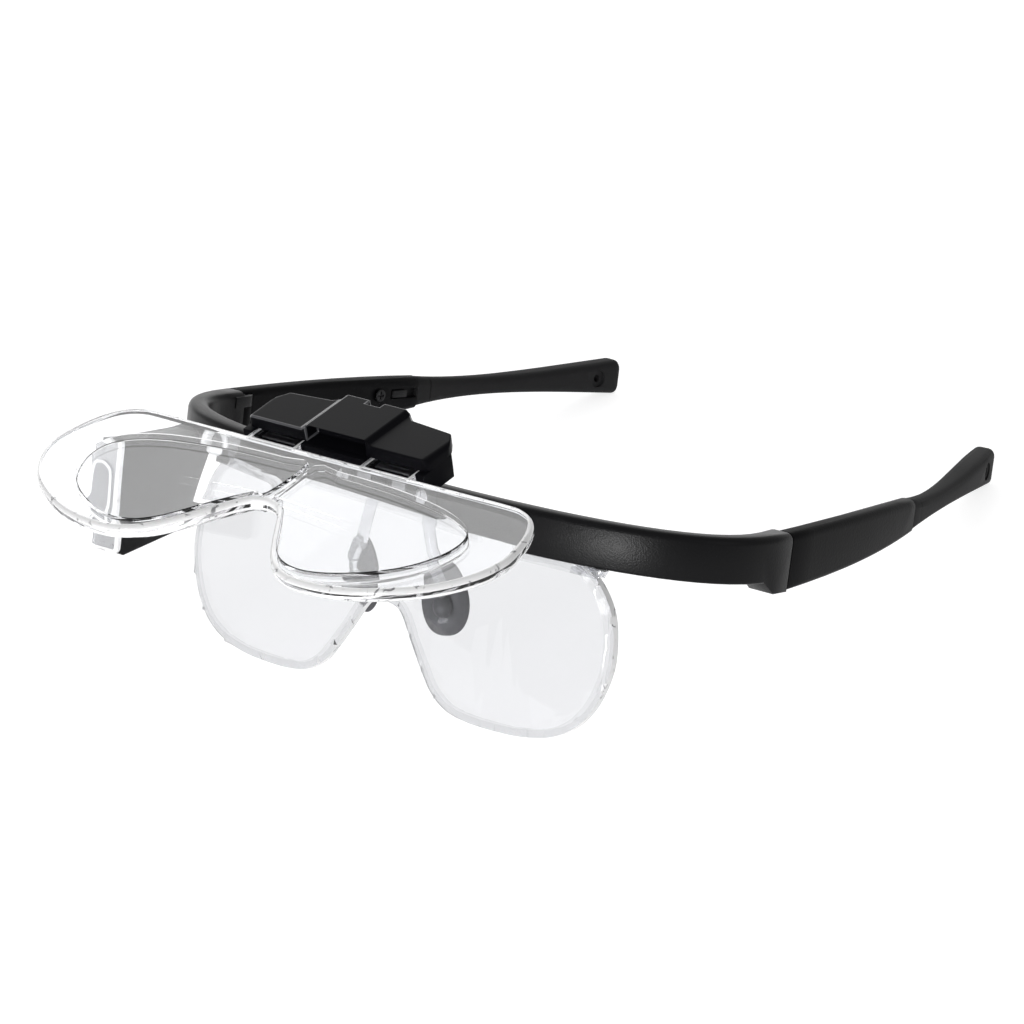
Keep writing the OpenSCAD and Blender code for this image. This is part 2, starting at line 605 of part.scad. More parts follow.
// Temples
module hinge_pin(side) color([0.7, 0.7, 0.72]) on_side(side)
    translate([pin_x, pin_y, hinge_mid - ear_z - ear_h]) cylinder(r = pin_r, h = 2 * (ear_z + ear_h));
arm_low = [end_bottom, end_bottom + 0.9, end_bottom + 1.8, bar_top - arm_tip_h - 0.4];
arm_high = [bar_top, bar_top + 0.2, bar_top + 0.3, bar_top - 0.4];
seam_gap = 0.4;
arm_steps = 14;
function arm_x(l) = bar_half_w - arm_lean * l - arm_bow * l * l;
arm_turn = atan(arm_lean + 2 * arm_bow * arm_len);
tip_z = bar_top - 0.4 - arm_tip_h / 2;
slider_u = arm_tip_t / 2;
adjust_back = 13;
module at_tip(side) on_side(side)
    translate([arm_x(arm_len), seam_y + arm_len, 0]) rotate(arm_turn) children();
module temple_arm(side) color([0.09, 0.09, 0.1]) {
    difference() {
        on_side(side) difference() {
            union() {
                loft([for (i = [0:arm_steps])
                    let (t = i / arm_steps, l = seam_gap + (arm_len + 1.5 - seam_gap) * t,
                         th = arm_t + (arm_tip_t - arm_t) * t)
                    [for (s = section(th, bezier(arm_high, t), bezier(arm_low, t), 1.8, 1.2))
                        [arm_x(l) - s.x, seam_y + l, s.y]]]);
                translate([pin_x, pin_y, hinge_mid - tongue_h / 2]) {
                    cylinder(r = knuckle_r, h = tongue_h);
                    translate([-1.1, 0, 0]) cube([knuckle_r + 1.1, 5, tongue_h]);
                }
            }
            // room for the bar's ears and for the pin
            translate([pin_x, pin_y, 0]) {
                for (z = [hinge_mid - ear_z - ear_h - slip, hinge_mid + ear_z - slip])
                    translate([0, 0, z]) {
                        cylinder(r = knuckle_r + gap, h = ear_h + 2 * slip);
                        translate([-knuckle_r - over, -pin_back - over, 0])
                            cube([2 * knuckle_r + over + gap, pin_back + over, ear_h + 2 * slip]);
                    }
                translate([0, 0, end_bottom - over])
                    cylinder(r = pin_r + run, h = over + bar_top - end_bottom - 0.85);
            }
        }
        at_tip(side) {
            // square end, channel for the slider, its window and the screw's hole
            translate([-20, 0, -40]) cube([40, 10, 80]);
            translate([-slider_u - slider_t / 2 - slip, -slider_len - 0.5, tip_z - slider_h / 2 - slip])
                cube([slider_t + 2 * slip, slider_len + 2, slider_h + 2 * slip]);
            translate([-arm_tip_t - 3, -9, tip_z - 1.2]) cube([arm_tip_t + 3 - slider_u, 12, 2.4]);
            translate([-arm_tip_t - 2, -adjust_back, tip_z]) rotate([0, 90, 0]) {
                cylinder(r = screw_r, h = 4);
                cylinder(r = 1.5 + run, h = 2 - 0.05 - slip);
            }
        }
    }
}
module adjust_screw(side) color([0.45, 0.45, 0.47]) at_tip(side)
    translate([-arm_tip_t - 0.05 - slip, -adjust_back, tip_z]) rotate([0, -90, 0])
        small_screw(screw_r, arm_tip_t - slider_u - slider_t / 2 - slip + 0.1, 1.5, 0.7);
module tip_slider(side) color([0.14, 0.14, 0.15]) at_tip(side) {
    translate([-slider_u - slider_t / 2, -slider_len, tip_z - slider_h / 2])
        cube([slider_t, slider_len + 7, slider_h]);
    translate([-arm_tip_t - 0.3, -8.4, tip_z - 0.9]) cube([arm_tip_t - slider_u, 4.6, 1.8]);
}
tip_high = [bar_top - 0.5, bar_top - 2.4, bar_top + 0.2, bar_top + 2.4];
tip_low = [tip_z - arm_tip_h / 2 + 0.1, tip_z - 0.4, tip_z - 1, bar_top + 2.4 - paddle_h];
tip_thick = [arm_tip_t - 0.1, 3.9, paddle_t + 1.4, paddle_t - 0.8];
tip_steps = 18;
tip_round = 2;
groove = [3.2, 4.4, 0.35];
module tip_grip(side) color([0.08, 0.08, 0.085]) at_tip(side) difference() {
    loft(concat(
        [for (i = [0:tip_steps])
            let (t = i / tip_steps, l = slip + (tip_len - tip_round - slip) * t) tip_ring(l, t, 0)],
        [for (k = [1:4]) tip_ring(tip_len - tip_round + tip_round * sin(22.5 * k), 1,
            tip_round * (1 - cos(22.5 * k)))]));
    // neck groove
    for (z = [-1, 1]) translate([-20, groove[0], tip_z + z * (arm_tip_h / 2 + 9.6)])
        translate([0, 0, -10]) cube([40, groove[1] - groove[0], 20]);
    translate([-slider_u - slider_t / 2, -over, tip_z - slider_h / 2]) cube([slider_t, over + 7, slider_h]);
    // strap hole between two flat spots
    translate([-tip_mid(strap_t), strap_l, strap_z]) {
        x_rod(strap_r, 30);
        for (s = [-1, 1]) translate([s * (strap_flat / 2 + 5), 0, 0]) x_rod(strap_r + 1.2, 10);
    }
}
function tip_ring(l, t, inset) =
    [for (s = section(bezier(tip_thick, t), bezier(tip_high, t), bezier(tip_low, t), 1.8, 1.4, inset))
        [-arm_bow * l * l - s.x, l, s.y]];
strap_l = tip_len - strap_in;
strap_t = (strap_l - slip) / (tip_len - tip_round - slip);
strap_z = bezier(tip_high, strap_t) / 2 + bezier(tip_low, strap_t) / 2;
strap_flat = 5;
function tip_mid(t) = arm_bow * strap_l * strap_l + bezier(tip_thick, t) / 2;

// Lamp at the wearer's right: a slim housing in front of the bar's bend, on a foot under it
lamp_top = bar_top - 7;
lamp_low = lamp_top - lamp_h;
lamp_back_low = lamp_low + 3.8;
lamp_heel = lamp_front + 19.5;
lamp_mid_x = lamp_x + lamp_w / 2;
foot_h = 3;
foot_y = bar_face(lamp_mid_x) + bar_t + 1;
lamp_screw_y = bar_face(lamp_mid_x) + 2.6;
cover_t = 1;
cell_y = lamp_front + 8.5 + cell_r;
cell_z = lamp_top - 3.6 - cell_r;
module lamp_slab(x0, x1) {
    translate([-x1, 0, 0]) rotate([90, 0, 90]) linear_extrude(x1 - x0) polygon([
        [lamp_front, lamp_top], [lamp_front, lamp_low + 0.5], [lamp_front + 1, lamp_low],
        [lamp_heel, lamp_back_low], [foot_y - 3, bar_bottom - foot_h], [foot_y, bar_bottom - foot_h],
        [foot_y, lamp_top]]);
}
module lamp_hollow() {
    translate([-lamp_x - lamp_w, 0, 0]) rotate([90, 0, 90]) linear_extrude(lamp_w - lamp_wall)
        polygon([
            [lamp_front + lamp_wall, lamp_top - lamp_wall], [lamp_front + lamp_wall, lamp_low + lamp_wall],
            [lamp_heel - 1, lamp_back_low + lamp_wall], [bar_face(lamp_x) - 0.4, bar_bottom - 6],
            [bar_face(lamp_x) - lamp_wall, bar_bottom], [bar_face(lamp_x) - lamp_wall, lamp_top - lamp_wall]]);
}
module clear_of_bar() {
    translate([0, 0, bar_bottom]) linear_extrude(bar_h) behind_bar(run);
}
module lamp_housing() color([0.1, 0.1, 0.11]) difference() {
    lamp_slab(lamp_x, lamp_x + lamp_w - cover_t);
    // hollow, open to the outer side, and the window's opening in front
    lamp_hollow();
    translate([-lamp_x - lamp_w, lamp_front - over, lamp_low + window_low])
        cube([lamp_w - lamp_wall, over + lamp_wall + 0.1, window_h]);
    clear_of_bar();
    wire_bore();
    translate([-lamp_mid_x, lamp_screw_y, bar_bottom - foot_h - 4 * over]) {
        cylinder(r = screw_r + run, h = foot_h + 5 * over);
        cylinder(r = 1.7 + slip, h = 4 * over);
    }
}
module lamp_cover() color([0.11, 0.11, 0.12]) difference() {
    lamp_slab(lamp_x + lamp_w - cover_t, lamp_x + lamp_w);
    clear_of_bar();
}
window_low = 2;
window_h = lamp_h - 5;
module lamp_screws() color([0.5, 0.5, 0.52])
    translate([-lamp_mid_x, lamp_screw_y, bar_bottom - foot_h])
        rotate([180, 0, 0]) small_screw(screw_r, foot_h + 3.4, 1.7, 0.8);
window_t = 1.6;
lamp_in_w = lamp_w - lamp_wall - cover_t;
lamp_in_x = lamp_x + lamp_wall + lamp_in_w / 2;
lamp_mid_z = lamp_low + window_low + window_h / 2;
module lamp_window() color([0.85, 0.92, 0.96, 0.5]) {
    translate([-lamp_in_x - lamp_in_w / 2 + run, lamp_front + 0.1, lamp_low + window_low + run])
        cube([lamp_in_w - 2 * run, window_t, window_h - 2 * run]);
    // lens with a D-shaped rim
    translate([-lamp_in_x, lamp_front - 0.9, lamp_mid_z]) difference() {
        y_rod(2.7, 1.4);
        translate([1.5, -over, -5]) cube([5, 5, 10]);
    }
}
board_y = lamp_front + 6.6;
board_t = 0.8;
module lamp_reflector() color([0.9, 0.9, 0.9])
    translate([-lamp_in_x, lamp_front + 0.1 + window_t, lamp_mid_z]) difference() {
        y_rod(2.6, board_y - lamp_front - 0.1 - window_t);
        rotate([-90, 0, 0]) translate([0, 0, -0.01]) cylinder(r1 = 2.3, r2 = 1.5, h = 2.6);
        y_rod(1.5, 8);
    }
module lamp_led() color([0.95, 0.93, 0.75]) translate([-lamp_in_x, board_y - 2.4, lamp_mid_z]) {
    y_rod(1.5, 2.4);
    sphere(r = 1.5);
}
module lamp_board() color([0.1, 0.35, 0.18])
    translate([-lamp_in_x - lamp_in_w / 2, board_y, lamp_low + 4.5])
        cube([lamp_in_w, board_t, lamp_h - 7.5]);
contact_t = 0.35;
cell_x = lamp_x + lamp_wall + contact_t;
module coin_cells() color([0.72, 0.72, 0.74]) for (i = [0, 1])
    translate([-cell_x - (i + 0.5) * cell_t, cell_y, cell_z]) x_rod(cell_r, cell_t);
module cell_contacts() color([0.8, 0.75, 0.55]) {
    translate([-cell_x, cell_y - 4, cell_z - 2.5]) cube([contact_t, 8, 5]);
    translate([-cell_x - 2 * cell_t - contact_t, cell_y - 4, cell_z - 2.5]) {
        cube([contact_t, 8, 5]);
        // dimple that presses on the cover
        translate([cell_x + 2 * cell_t + contact_t - lamp_x - lamp_w + cover_t, 4, 2.5])
            rotate([0, 90, 0]) cylinder(r = 1.2, h = lamp_x + lamp_w - cover_t - cell_x - 2 * cell_t);
    }
}

// Push button: a clear hollow cap that pokes out of the bar's front
module lamp_button() color([0.9, 0.94, 0.96, 0.6]) translate([-button_x, 0, button_z]) difference() {
    union() {
        translate([0, button_base - button_len, 0]) y_rod(button_r, button_len + sink);
        translate([0, flange_y, 0]) y_rod(pocket_r - 0.15, flange_h);
    }
    translate([0, button_base - button_len - over, 0]) y_rod(button_r - 0.8, button_len - 1 + over);
}
module button_spring() color([0.75, 0.75, 0.77]) translate([-button_x, spring_y, button_z])
    difference() {
        y_rod(2.7, switch_y - spring_y);
        translate([0, -over, 0]) y_rod(2.3, 6);
    }
module switch_body() color([0.2, 0.2, 0.22]) difference() {
    translate([-button_x, 0, button_z]) {
        translate([0, switch_y, 0]) y_rod(pocket_r - 0.05, switch_t);
        translate([-1.5, switch_y - 0.5, -1.5]) cube([3, 0.7, 3]);
        translate([0, switch_y - 0.7, 0]) y_rod(1.2, 0.4);
    }
    two_wires();
}
module switch_cover() color([0.11, 0.11, 0.12])
    translate([-button_x, switch_y + switch_t, button_z]) y_rod(pocket_r - 0.05, 1);
function wire_side(i) = let (d = unit(wire_points[i + 1] - wire_points[i])) [-d.y, d.x];
function wire_edge(i, out) = let (u = wire_side(max(i - 1, 0)), v = wire_side(min(i, 2)))
    [wire_points[i].x, wire_points[i].y] + out * (u + v) / (1 + u * v);
module two_wires() for (z = [-1, 1]) translate([0, 0, wire_z + z * 0.3 - 0.22])
    linear_extrude(0.44) polygon(concat(
        [for (i = [0:3]) wire_edge(i, 0.22)], [for (i = [3:-1:0]) wire_edge(i, -0.22)]));
module switch_wires() color([0.7, 0.15, 0.12]) two_wires();

at_rest() brow_bar();
at_rest() hinge_bracket();
at_rest() bracket_screws();
at_rest() flip_pin();
at_rest() detent_spring();
at_rest() shield();
at_rest() shield_screws();
at_rest() nose_bridge();
at_rest() bridge_screw();
at_rest() nose_pad(1);  // nose_pad_left
at_rest() nose_pad(-1);  // nose_pad_right
at_rest() hinge_pin(1);  // hinge_pin_left
at_rest() hinge_pin(-1);  // hinge_pin_right
at_rest() temple_arm(1);  // temple_arm_left
at_rest() temple_arm(-1);  // temple_arm_right
at_rest() adjust_screw(1);  // adjust_screw_left
at_rest() adjust_screw(-1);  // adjust_screw_right
at_rest() tip_slider(1);  // tip_slider_left
at_rest() tip_slider(-1);  // tip_slider_right
at_rest() tip_grip(1);  // tip_grip_left
at_rest() tip_grip(-1);  // tip_grip_right
at_rest() carrier_base();
at_rest() carrier_cover();
at_rest() carrier_screws();
at_rest() tab_clips();
at_rest() lens_plate();
at_rest() lamp_housing();
at_rest() lamp_cover();
at_rest() lamp_screws();
at_rest() lamp_window();
at_rest() lamp_reflector();
at_rest() lamp_led();
at_rest() lamp_board();
at_rest() coin_cells();
at_rest() cell_contacts();
at_rest() lamp_button();
at_rest() button_spring();
at_rest() switch_body();
at_rest() switch_cover();
at_rest() switch_wires();
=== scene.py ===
import math

import bmesh
import bpy
from mathutils import Matrix, Vector


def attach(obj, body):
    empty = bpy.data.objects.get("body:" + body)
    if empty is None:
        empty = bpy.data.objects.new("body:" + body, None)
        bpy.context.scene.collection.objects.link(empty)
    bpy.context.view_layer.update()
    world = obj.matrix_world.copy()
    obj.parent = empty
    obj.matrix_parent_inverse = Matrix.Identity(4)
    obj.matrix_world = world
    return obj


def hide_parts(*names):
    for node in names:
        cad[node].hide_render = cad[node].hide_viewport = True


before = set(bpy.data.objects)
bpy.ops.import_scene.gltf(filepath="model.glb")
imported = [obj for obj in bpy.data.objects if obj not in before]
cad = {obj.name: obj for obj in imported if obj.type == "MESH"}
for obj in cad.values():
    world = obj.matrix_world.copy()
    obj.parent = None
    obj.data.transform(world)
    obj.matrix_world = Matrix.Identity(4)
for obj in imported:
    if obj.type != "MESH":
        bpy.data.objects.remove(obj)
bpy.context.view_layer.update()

# Camera: a long lens in front of the wearer's left side, a little above the brow and rolled to
# the left, as in the photograph.
camera_lens = bpy.data.cameras.new("camera")
camera_lens.lens = 138.8
camera_lens.sensor_width = 36
camera_lens.dof.use_dof = False
camera_lens.clip_start = 0.01
camera_lens.clip_end = 50
camera = bpy.data.objects.new("camera", camera_lens)
camera.rotation_mode = "QUATERNION"
camera.location = (0.490391, -0.64141, 0.392952)
camera.rotation_quaternion = (0.803389, 0.506314, 0.186809, 0.251623)
bpy.context.scene.collection.objects.link(camera)
bpy.context.scene.camera = camera
bpy.context.scene.view_settings.view_transform = "Standard"


# Studio: a white table top that glows a little, so that shadows stay faint, a large soft box
# behind and above that shines in the lens plate, a tall strip and a small spot in front, and a
# weak fill at the right. The camera sees the room around them as plain white.
def put(tree, kind, numbered=(), **named):
    """Adds a node. Its settings and sockets are given by name, or a socket's value by its number."""
    node = tree.nodes.new(kind)
    for name, value in named.items():
        if hasattr(node, name):
            setattr(node, name, value)
        else:
            node.inputs[name.replace("_", " ")].default_value = value
    for number, value in dict(numbered).items():
        node.inputs[number].default_value = value
    return node


def join(tree, *links):
    """Links nodes. Each link is a node and its output, then a node and its input."""
    for source, output, target, entry in links:
        tree.links.new(source.outputs[output], target.inputs[entry])


def finish(name, **settings):
    """A new material: one Principled shader, with its sockets set by name."""
    material = bpy.data.materials.new(name)
    material.use_nodes = True
    tree = material.node_tree
    tree.nodes.clear()
    shader = put(tree, "ShaderNodeBsdfPrincipled", **settings)
    out = tree.nodes.new("ShaderNodeOutputMaterial")
    join(tree, (shader, 0, out, 0))
    return material, tree, shader, out


def soft_box(name, place, aim, width, height, power):
    """An area light that faces what it is aimed at."""
    light = bpy.data.lights.new(name, "AREA")
    light.shape = "RECTANGLE"
    light.size = width
    light.size_y = height
    light.energy = power
    box = bpy.data.objects.new(name, light)
    box.location = place
    box.rotation_mode = "QUATERNION"
    box.rotation_quaternion = (Vector(aim) - Vector(place)).to_track_quat("-Z", "Y")
    bpy.context.scene.collection.objects.link(box)


white = (1, 1, 1, 1)
table_white = finish("table_white", Base_Color=(0.4, 0.4, 0.403, 1), Roughness=0.9, Specular_IOR_Level=0.1,
                     Emission_Color=white, Emission_Strength=0.78)[0]
shape = bmesh.new()
bmesh.ops.create_circle(shape, cap_ends=True, segments=96, radius=4)
mesh = bpy.data.meshes.new("table_top")
shape.to_mesh(mesh)
shape.free()
mesh.materials.append(table_white)
table_top = bpy.data.objects.new("table_top", mesh)
bpy.context.scene.collection.objects.link(table_top)

soft_box("back_box", place=(-0.86, 0.72, 0.82), aim=(0, -0.05, 0.05), width=1.5, height=1.3, power=9.5)
soft_box("front_strip", place=(0.2, -1.2, 0.3), aim=(0.03, -0.05, 0.05), width=0.3, height=0.7, power=3.2)
soft_box("right_fill", place=(1.5, -0.1, 0.9), aim=(0, 0, 0.05), width=0.8, height=0.8, power=1)
soft_box("front_spot", place=(0.24, -1.33, 0.16), aim=(0.055, -0.04, 0.046), width=0.16, height=0.22,
         power=7)

room_glow = 0.5
extra_where_seen = 0.7
studio = bpy.data.worlds.new("studio")
studio.use_nodes = True
tree = studio.node_tree
room = tree.nodes["Background"]
room.inputs["Color"].default_value = white
seen = put(tree, "ShaderNodeLightPath")
glow = put(tree, "ShaderNodeMath", {1: extra_where_seen, 2: room_glow}, operation="MULTIPLY_ADD")
join(tree, (seen, "Is Camera Ray", glow, 0), (glow, 0, room, "Strength"))
bpy.context.scene.world = studio


# Brow bar: one injection moulding in black plastic, wrapped round the brow, with a fine grain on
# its faces, rounded upper edges and two deeper ends that hold the temple hinges.
def group(name, inputs, outputs):
    """A new shader group of plain numbers: what goes in, each with its usual value, and what comes out."""
    tree = bpy.data.node_groups.new(name, "ShaderNodeTree")
    for label, value in inputs.items():
        socket = tree.interface.new_socket(label, in_out="INPUT", socket_type="NodeSocketFloat")
        socket.default_value = value
    for label in outputs:
        tree.interface.new_socket(label, in_out="OUTPUT", socket_type="NodeSocketFloat")
    return tree, tree.nodes.new("NodeGroupInput"), tree.nodes.new("NodeGroupOutput")


# Grain of a mould: small bumps of two kinds, a slow change of tone, and a shine that follows it
grain, given, result = group("mould_grain", {"Scale": 1800, "Rough": 0.4, "Spread": 0.1},
                             ["Height", "Gloss", "Tone"])
where = put(grain, "ShaderNodeTexCoord")
small = put(grain, "ShaderNodeTexNoise", Detail=2.0, Roughness=0.6)
pits = put(grain, "ShaderNodeTexVoronoi")
slow = put(grain, "ShaderNodeTexNoise", Scale=38, Detail=4.0, Roughness=0.6)
both = put(grain, "ShaderNodeMath", {1: 0.5}, operation="MULTIPLY_ADD")
shine = put(grain, "ShaderNodeMath", operation="MULTIPLY_ADD")
tone = put(grain, "ShaderNodeMapRange", To_Min=0.7, To_Max=1.35)
join(grain,
     (where, "Object", small, "Vector"), (given, "Scale", small, "Scale"),
     (where, "Object", pits, "Vector"), (given, "Scale", pits, "Scale"),
     (pits, "Distance", both, 0), (small, "Fac", both, 2), (both, 0, result, "Height"),
     (where, "Object", slow, "Vector"), (slow, "Fac", tone, "Value"), (tone, 0, result, "Tone"),
     (slow, "Fac", shine, 0), (given, "Spread", shine, 1), (given, "Rough", shine, 2),
     (shine, 0, result, "Gloss"))


def moulded(name, colour, rough, specular, scale=1800, bump=0.25, depth=0.00003):
    """Opaque moulded plastic or rubber with the mould's grain; its tone and shine vary a little."""
    spread = 0.1
    material, tree, shader, out = finish(name, Specular_IOR_Level=specular)
    grained = put(tree, "ShaderNodeGroup", node_tree=grain, Scale=scale, Rough=rough - spread / 2,
                  Spread=spread, name="grained")
    paint = put(tree, "ShaderNodeVectorMath", {0: colour}, operation="SCALE", name="paint")
    lift = put(tree, "ShaderNodeBump", Strength=bump, Distance=depth, name="lift")
    join(tree,
         (grained, "Tone", paint, "Scale"), (paint, 0, shader, "Base Color"),
         (grained, "Gloss", shader, "Roughness"),
         (grained, "Height", lift, "Height"), (lift, 0, shader, "Normal"))
    return material


# Smooth shading up to an angle, so that only real edges stay crisp
crisp_edge = math.radians(32)
soften = bpy.data.node_groups.new("soften", "GeometryNodeTree")
soften.interface.new_socket("Geometry", in_out="INPUT", socket_type="NodeSocketGeometry")
soften.interface.new_socket("Geometry", in_out="OUTPUT", socket_type="NodeSocketGeometry")
start = soften.nodes.new("NodeGroupInput")
end = soften.nodes.new("NodeGroupOutput")
bend = soften.nodes.new("GeometryNodeInputMeshEdgeAngle")
flat_enough = put(soften, "FunctionNodeCompare", {1: crisp_edge}, operation="LESS_EQUAL")
faces = put(soften, "GeometryNodeSetShadeSmooth", domain="FACE")
edges = put(soften, "GeometryNodeSetShadeSmooth", domain="EDGE")
join(soften,
     (start, 0, faces, "Geometry"), (faces, 0, edges, "Geometry"), (edges, 0, end, 0),
     (bend, "Unsigned Angle", flat_enough, 0), (flat_enough, 0, edges, "Shade Smooth"))


def dress(names, material, edge=0.0002, segments=2):
    """Gives CAD nodes their finish, small rounded edges and smooth shading."""
    for name in names:
        piece = cad[name]
        piece.data.materials.clear()
        piece.data.materials.append(material)
        weld = piece.modifiers.new("weld", "WELD")
        weld.merge_threshold = 0.000002
        if edge:
            flats = piece.modifiers.new("flats", "DECIMATE")
            flats.decimate_type = "DISSOLVE"
            flats.angle_limit = math.radians(0.6)
            rounding = piece.modifiers.new("rounding", "BEVEL")
            rounding.width = edge
            rounding.segments = segments
            rounding.limit_method = "ANGLE"
            rounding.angle_limit = math.radians(38)
        shading = piece.modifiers.new("shading", "NODES")
        shading.node_group = soften


bar_black = moulded("bar_black", (0.0032, 0.0032, 0.0037), 0.31, 0.13, scale=2800, bump=1.0)
dress(["brow_bar"], bar_black)

# Temple arms: black mouldings of the same grade as the bar with a more matt skin, deep at the
# hinge and drawn in towards their tips. Each swings on a pin in the end of the bar.
arm_black = moulded("arm_black", (0.003, 0.003, 0.0034), 0.42, 0.04, scale=1500, bump=0.7, depth=0.00004)
dress(["temple_arm_left", "temple_arm_right"], arm_black)


# Fastenings: turned steel screws and hinge pins, plated and slightly brushed. The two screws on
# the arms' inner faces, which set how far the tips stand out, are blackened.
def brushed(name, colour):
    """Bare or plated metal with a fine brushing in its tone and shine."""
    material, tree, shader, out = finish(name, Metallic=1)
    brushing = put(tree, "ShaderNodeGroup", node_tree=grain, Scale=5000, Rough=0.22, Spread=0.2)
    tint = put(tree, "ShaderNodeVectorMath", {0: colour}, operation="SCALE")
    join(tree,
         (brushing, "Tone", tint, "Scale"), (tint, 0, shader, "Base Color"),
         (brushing, "Gloss", shader, "Roughness"))
    return material


fastening_edge = 0.00008
plated_steel = brushed("plated_steel", (0.42, 0.42, 0.44))
dress(["bracket_screws", "shield_screws", "bridge_screw", "carrier_screws", "lamp_screws", "flip_pin",
       "hinge_pin_left", "hinge_pin_right"], plated_steel, edge=fastening_edge)
blackened_steel = brushed("blackened_steel", (0.02, 0.02, 0.021))
dress(["adjust_screw_left", "adjust_screw_right"], blackened_steel, edge=fastening_edge)

# Springs and cells: bright rolled steel. The detent leaves sit on the flip hinge, the clips in the
# carrier and the return spring behind the button; the two coin cells lie in the lamp's housing.
bright_steel = brushed("bright_steel", (0.22, 0.22, 0.23))
dress(["detent_spring", "tab_clips", "button_spring", "coin_cells"], bright_steel, edge=0.00005)

# Flip hinge and sliders: a black bracket screwed to the bar's front, which carries the pin of the
# flip hinge, and the flat plastic sliders that run from the tips into the arms.
hinge_black = moulded("hinge_black", (0.007, 0.007, 0.0075), 0.5, 0.14)
dress(["hinge_bracket", "tip_slider_left", "tip_slider_right"], hinge_black)

# Rubber tips: soft black sleeves with a matt skin, pushed over the sliders, with a shallow groove
# moulded round each one's neck, its colour darkened with painted shade.
neck_axis = (-0.18, 0.95, -0.25)      # along a tip, in coordinates without their signs
neck_place = 0.0322
neck_half_width = 0.00028
groove_sink = -6
painted_groove_shade = 0.15
tip_black = moulded("tip_black", (0.008, 0.008, 0.0085), 0.7, 0.16, scale=1500, bump=0.6, depth=0.00005)
tree = tip_black.node_tree
where = put(tree, "ShaderNodeTexCoord")
both_tips = put(tree, "ShaderNodeVectorMath", operation="ABSOLUTE")
along = put(tree, "ShaderNodeVectorMath", {1: neck_axis}, operation="DOT_PRODUCT")
groove = put(tree, "ShaderNodeMath", {1: neck_place, 2: neck_half_width}, operation="COMPARE")
sink = put(tree, "ShaderNodeMath", {1: groove_sink}, operation="MULTIPLY_ADD")
# Painted shade: inside the groove the base colour is darkened, as well as the bump being sunk.
painted_shade_ramp = put(tree, "ShaderNodeMapRange", To_Min=1, To_Max=painted_groove_shade)
painted_shade_colour = put(tree, "ShaderNodeVectorMath", operation="SCALE")
join(tree,
     (where, "Object", both_tips, 0), (both_tips, 0, along, 0), (along, "Value", groove, 0),
     (groove, 0, sink, 0), (tree.nodes["grained"], "Height", sink, 2),
     (sink, 0, tree.nodes["lift"], "Height"),
     (groove, 0, painted_shade_ramp, "Value"), (painted_shade_ramp, 0, painted_shade_colour, "Scale"), (tree.nodes["paint"], 0, painted_shade_colour, 0),
     (painted_shade_colour, 0, tree.nodes["Principled BSDF"], "Base Color"))
dress(["tip_grip_left", "tip_grip_right"], tip_black)


# Lens plate: one clear acrylic moulding with two lobes, a raised magnifying zone in each, on both
# faces, polished edges with a small round, and two tabs that slide into the carrier.
def clear(name, colour, rough=0.0, milk=0.0):
    """Clear plastic, milk being how cloudy it is, that lets light through to what lies behind it."""
    material, tree, shader, out = finish(name, Base_Color=(*colour, 1), Transmission_Weight=1 - milk,
                                         IOR=1.49)
    handled = put(tree, "ShaderNodeGroup", node_tree=grain, Scale=900, Rough=rough, Spread=0.015)
    path = put(tree, "ShaderNodeLightPath")
    through = put(tree, "ShaderNodeBsdfTransparent", Color=(0.93, 0.93, 0.94, 1))
    mix = put(tree, "ShaderNodeMixShader")
    join(tree,
         (handled, "Gloss", shader, "Roughness"), (path, "Is Shadow Ray", mix, 0),
         (shader, 0, mix, 1), (through, 0, mix, 2), (mix, 0, out, 0))
    return material


# Pieces are drawn as worn, in millimetres. The object then stands on the shield's lower edges and
# the tips, with the plate and its carrier raised over the brow.
rest_place = (0, -0.06746, 0.06168)
rest_tilt = math.radians(-15.67)
plate_slope = math.radians(22)
as_worn = Matrix.Translation(rest_place) @ Matrix.Rotation(rest_tilt, 4, "X") @ Matrix.Scale(0.001, 4)
as_raised = as_worn @ Matrix.Rotation(plate_slope, 4, "X")


def piece_of(name, shape, place, body, materials, node, crisp=crisp_edge):
    """Turns a finished bmesh, in millimetres, into a piece on a body that replaces a CAD node."""
    bmesh.ops.transform(shape, matrix=place, verts=shape.verts)
    bmesh.ops.recalc_face_normals(shape, faces=shape.faces)
    if shape.calc_volume(signed=True) < 0:
        bmesh.ops.reverse_faces(shape, faces=shape.faces)
    mesh = bpy.data.meshes.new(name)
    shape.to_mesh(mesh)
    shape.free()
    for face in mesh.polygons:
        face.use_smooth = True
    mesh.set_sharp_from_angle(angle=crisp)
    for material in materials:
        mesh.materials.append(material)
    piece = bpy.data.objects.new(name, mesh)
    bpy.context.scene.collection.objects.link(piece)
    lay_flat = piece.modifiers.new("lay_flat", "WEIGHTED_NORMAL")
    lay_flat.keep_sharp = True
    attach(piece, body)
    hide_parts(node)


def rounded(points, steps=4):
    """Points on a smooth closed line through the given ones, with so many steps from each to the next."""
    line = []
    count = len(points)
    for i in range(count):
        a, b, c, d = (Vector(points[(i + k) % count]) for k in (-1, 0, 1, 2))
        for step in range(steps):
            t = step / steps
            line.append(0.5 * ((2 * b) + (c - a) * t + (2 * a - 5 * b + 4 * c - d) * t * t
                               + (3 * b - a - 3 * c + d) * t * t * t))
    return line


def ring(shape, points, height=0.0):
    """A closed ring of edges through points of a plan."""
    row = [shape.verts.new((p[0], p[1], height)) for p in points]
    return [shape.edges.new(pair) for pair in zip(row, row[1:] + row[:1])]


def bevel(shape, edges, size, steps, **more):
    """Rounds edges off, and returns the faces that this makes."""
    return bmesh.ops.bevel(shape, geom=edges, offset=size, segments=steps, profile=0.5, affect="EDGES",
                           material=-1, **more)["faces"]


def block(shape, size, middle):
    """Adds a plain block and returns its corners."""
    corners = bmesh.ops.create_cube(shape, size=1)["verts"]
    bmesh.ops.scale(shape, vec=size, verts=corners)
    bmesh.ops.translate(shape, vec=middle, verts=corners)
    return corners


